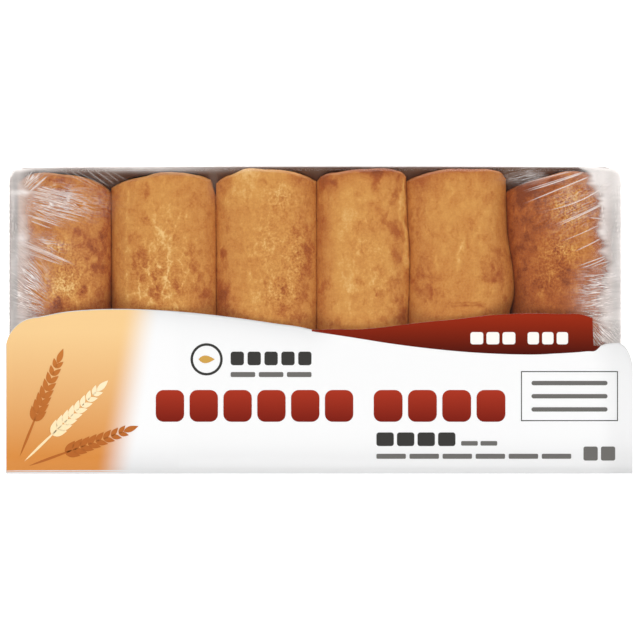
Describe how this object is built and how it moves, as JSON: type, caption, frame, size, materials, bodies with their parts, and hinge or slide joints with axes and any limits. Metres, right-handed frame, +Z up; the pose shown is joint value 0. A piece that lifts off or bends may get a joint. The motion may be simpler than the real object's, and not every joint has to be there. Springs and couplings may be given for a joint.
{
  "type": "film wrapped tray of sausage rolls",
  "caption": "Retail pack of baked sausage rolls side by side in a shallow tray, wrapped in clear film, with a wave-edged card label folded over the near side.",
  "frame": {"origin": "centre of the underside of the whole pack, on the surface it rests on", "axes": "+X along the pack's length, to the right in the picture; +Y across the pack, from the label's fold towards the rolls' far ends; +Z up, towards the viewer"},
  "size_m": [0.2764, 0.135, 0.0364],
  "materials": {
    "tray_plastic": "thermoformed dark brown plastic sheet, satin",
    "pastry": "egg-washed baked pastry crust, golden tan with brown blotches and a fine pale crackle",
    "wrapping_film": "clear stretch film, taut over the rolls and creased at the ends",
    "label_card": "white coated card with a dark red band and plain shapes in place of print"
  },
  "bodies": {
    "root": {"tray": "tray_plastic", "roll_1": "pastry", "roll_2": "pastry", "roll_3": "pastry", "roll_4": "pastry", "roll_5": "pastry", "roll_6": "pastry", "film": "wrapping_film", "label": "label_card"}
  },
  "joints": []
}
